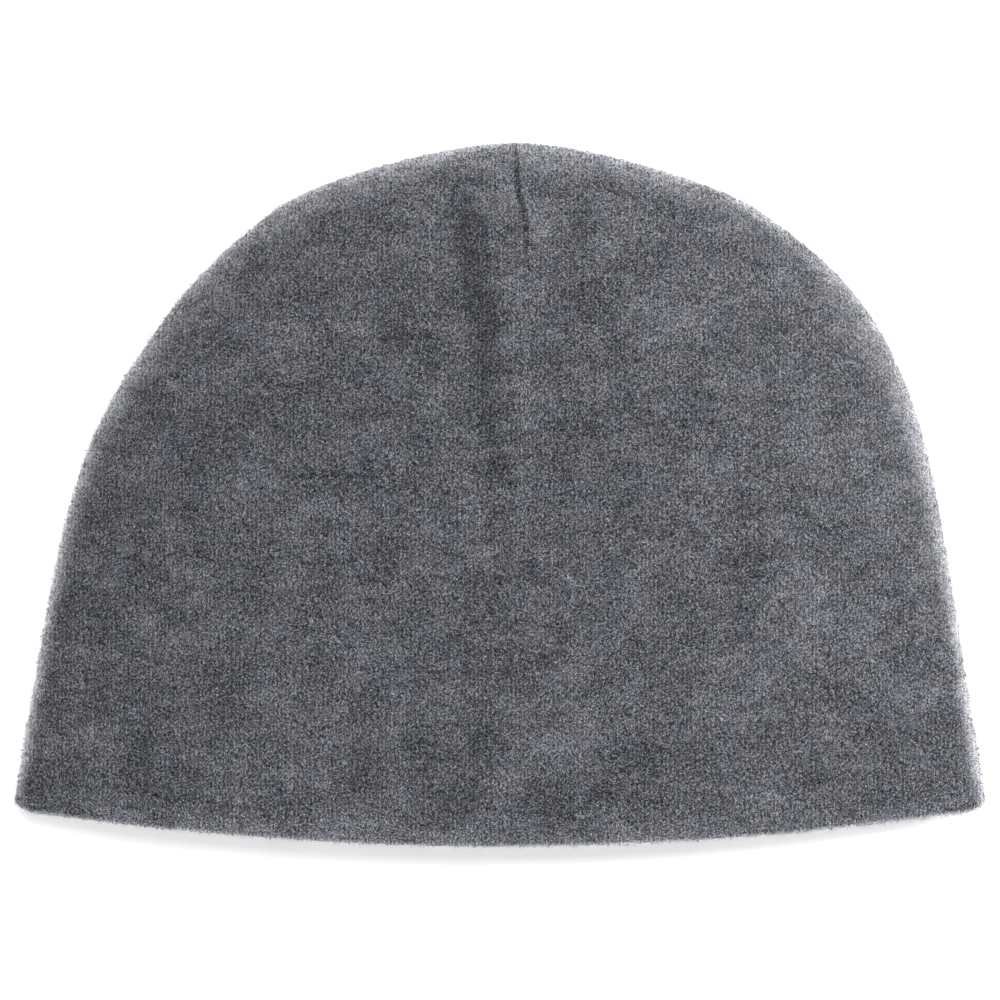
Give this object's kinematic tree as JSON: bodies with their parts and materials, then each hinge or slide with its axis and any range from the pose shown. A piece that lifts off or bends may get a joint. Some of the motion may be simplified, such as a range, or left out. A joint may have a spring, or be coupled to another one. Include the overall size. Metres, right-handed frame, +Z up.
{
  "type": "wool beanie",
  "caption": "Heather grey brushed wool beanie lying flat on its back, with a round crown, a centre dart down the front and a turned-in hem round an open mouth.",
  "frame": {"origin": "on the surface the hat lies on, under the middle of the whole hat", "axes": "+X to the right across the front, +Y from the hem to the crown, +Z up out of the front"},
  "size_m": [0.2554, 0.1849, 0.0255],
  "materials": {
    "heather_wool": "brushed heather grey wool jersey, matt and fuzzy"
  },
  "bodies": {
    "root": {"front_panel": "heather_wool", "back_panel": "heather_wool"}
  },
  "joints": []
}
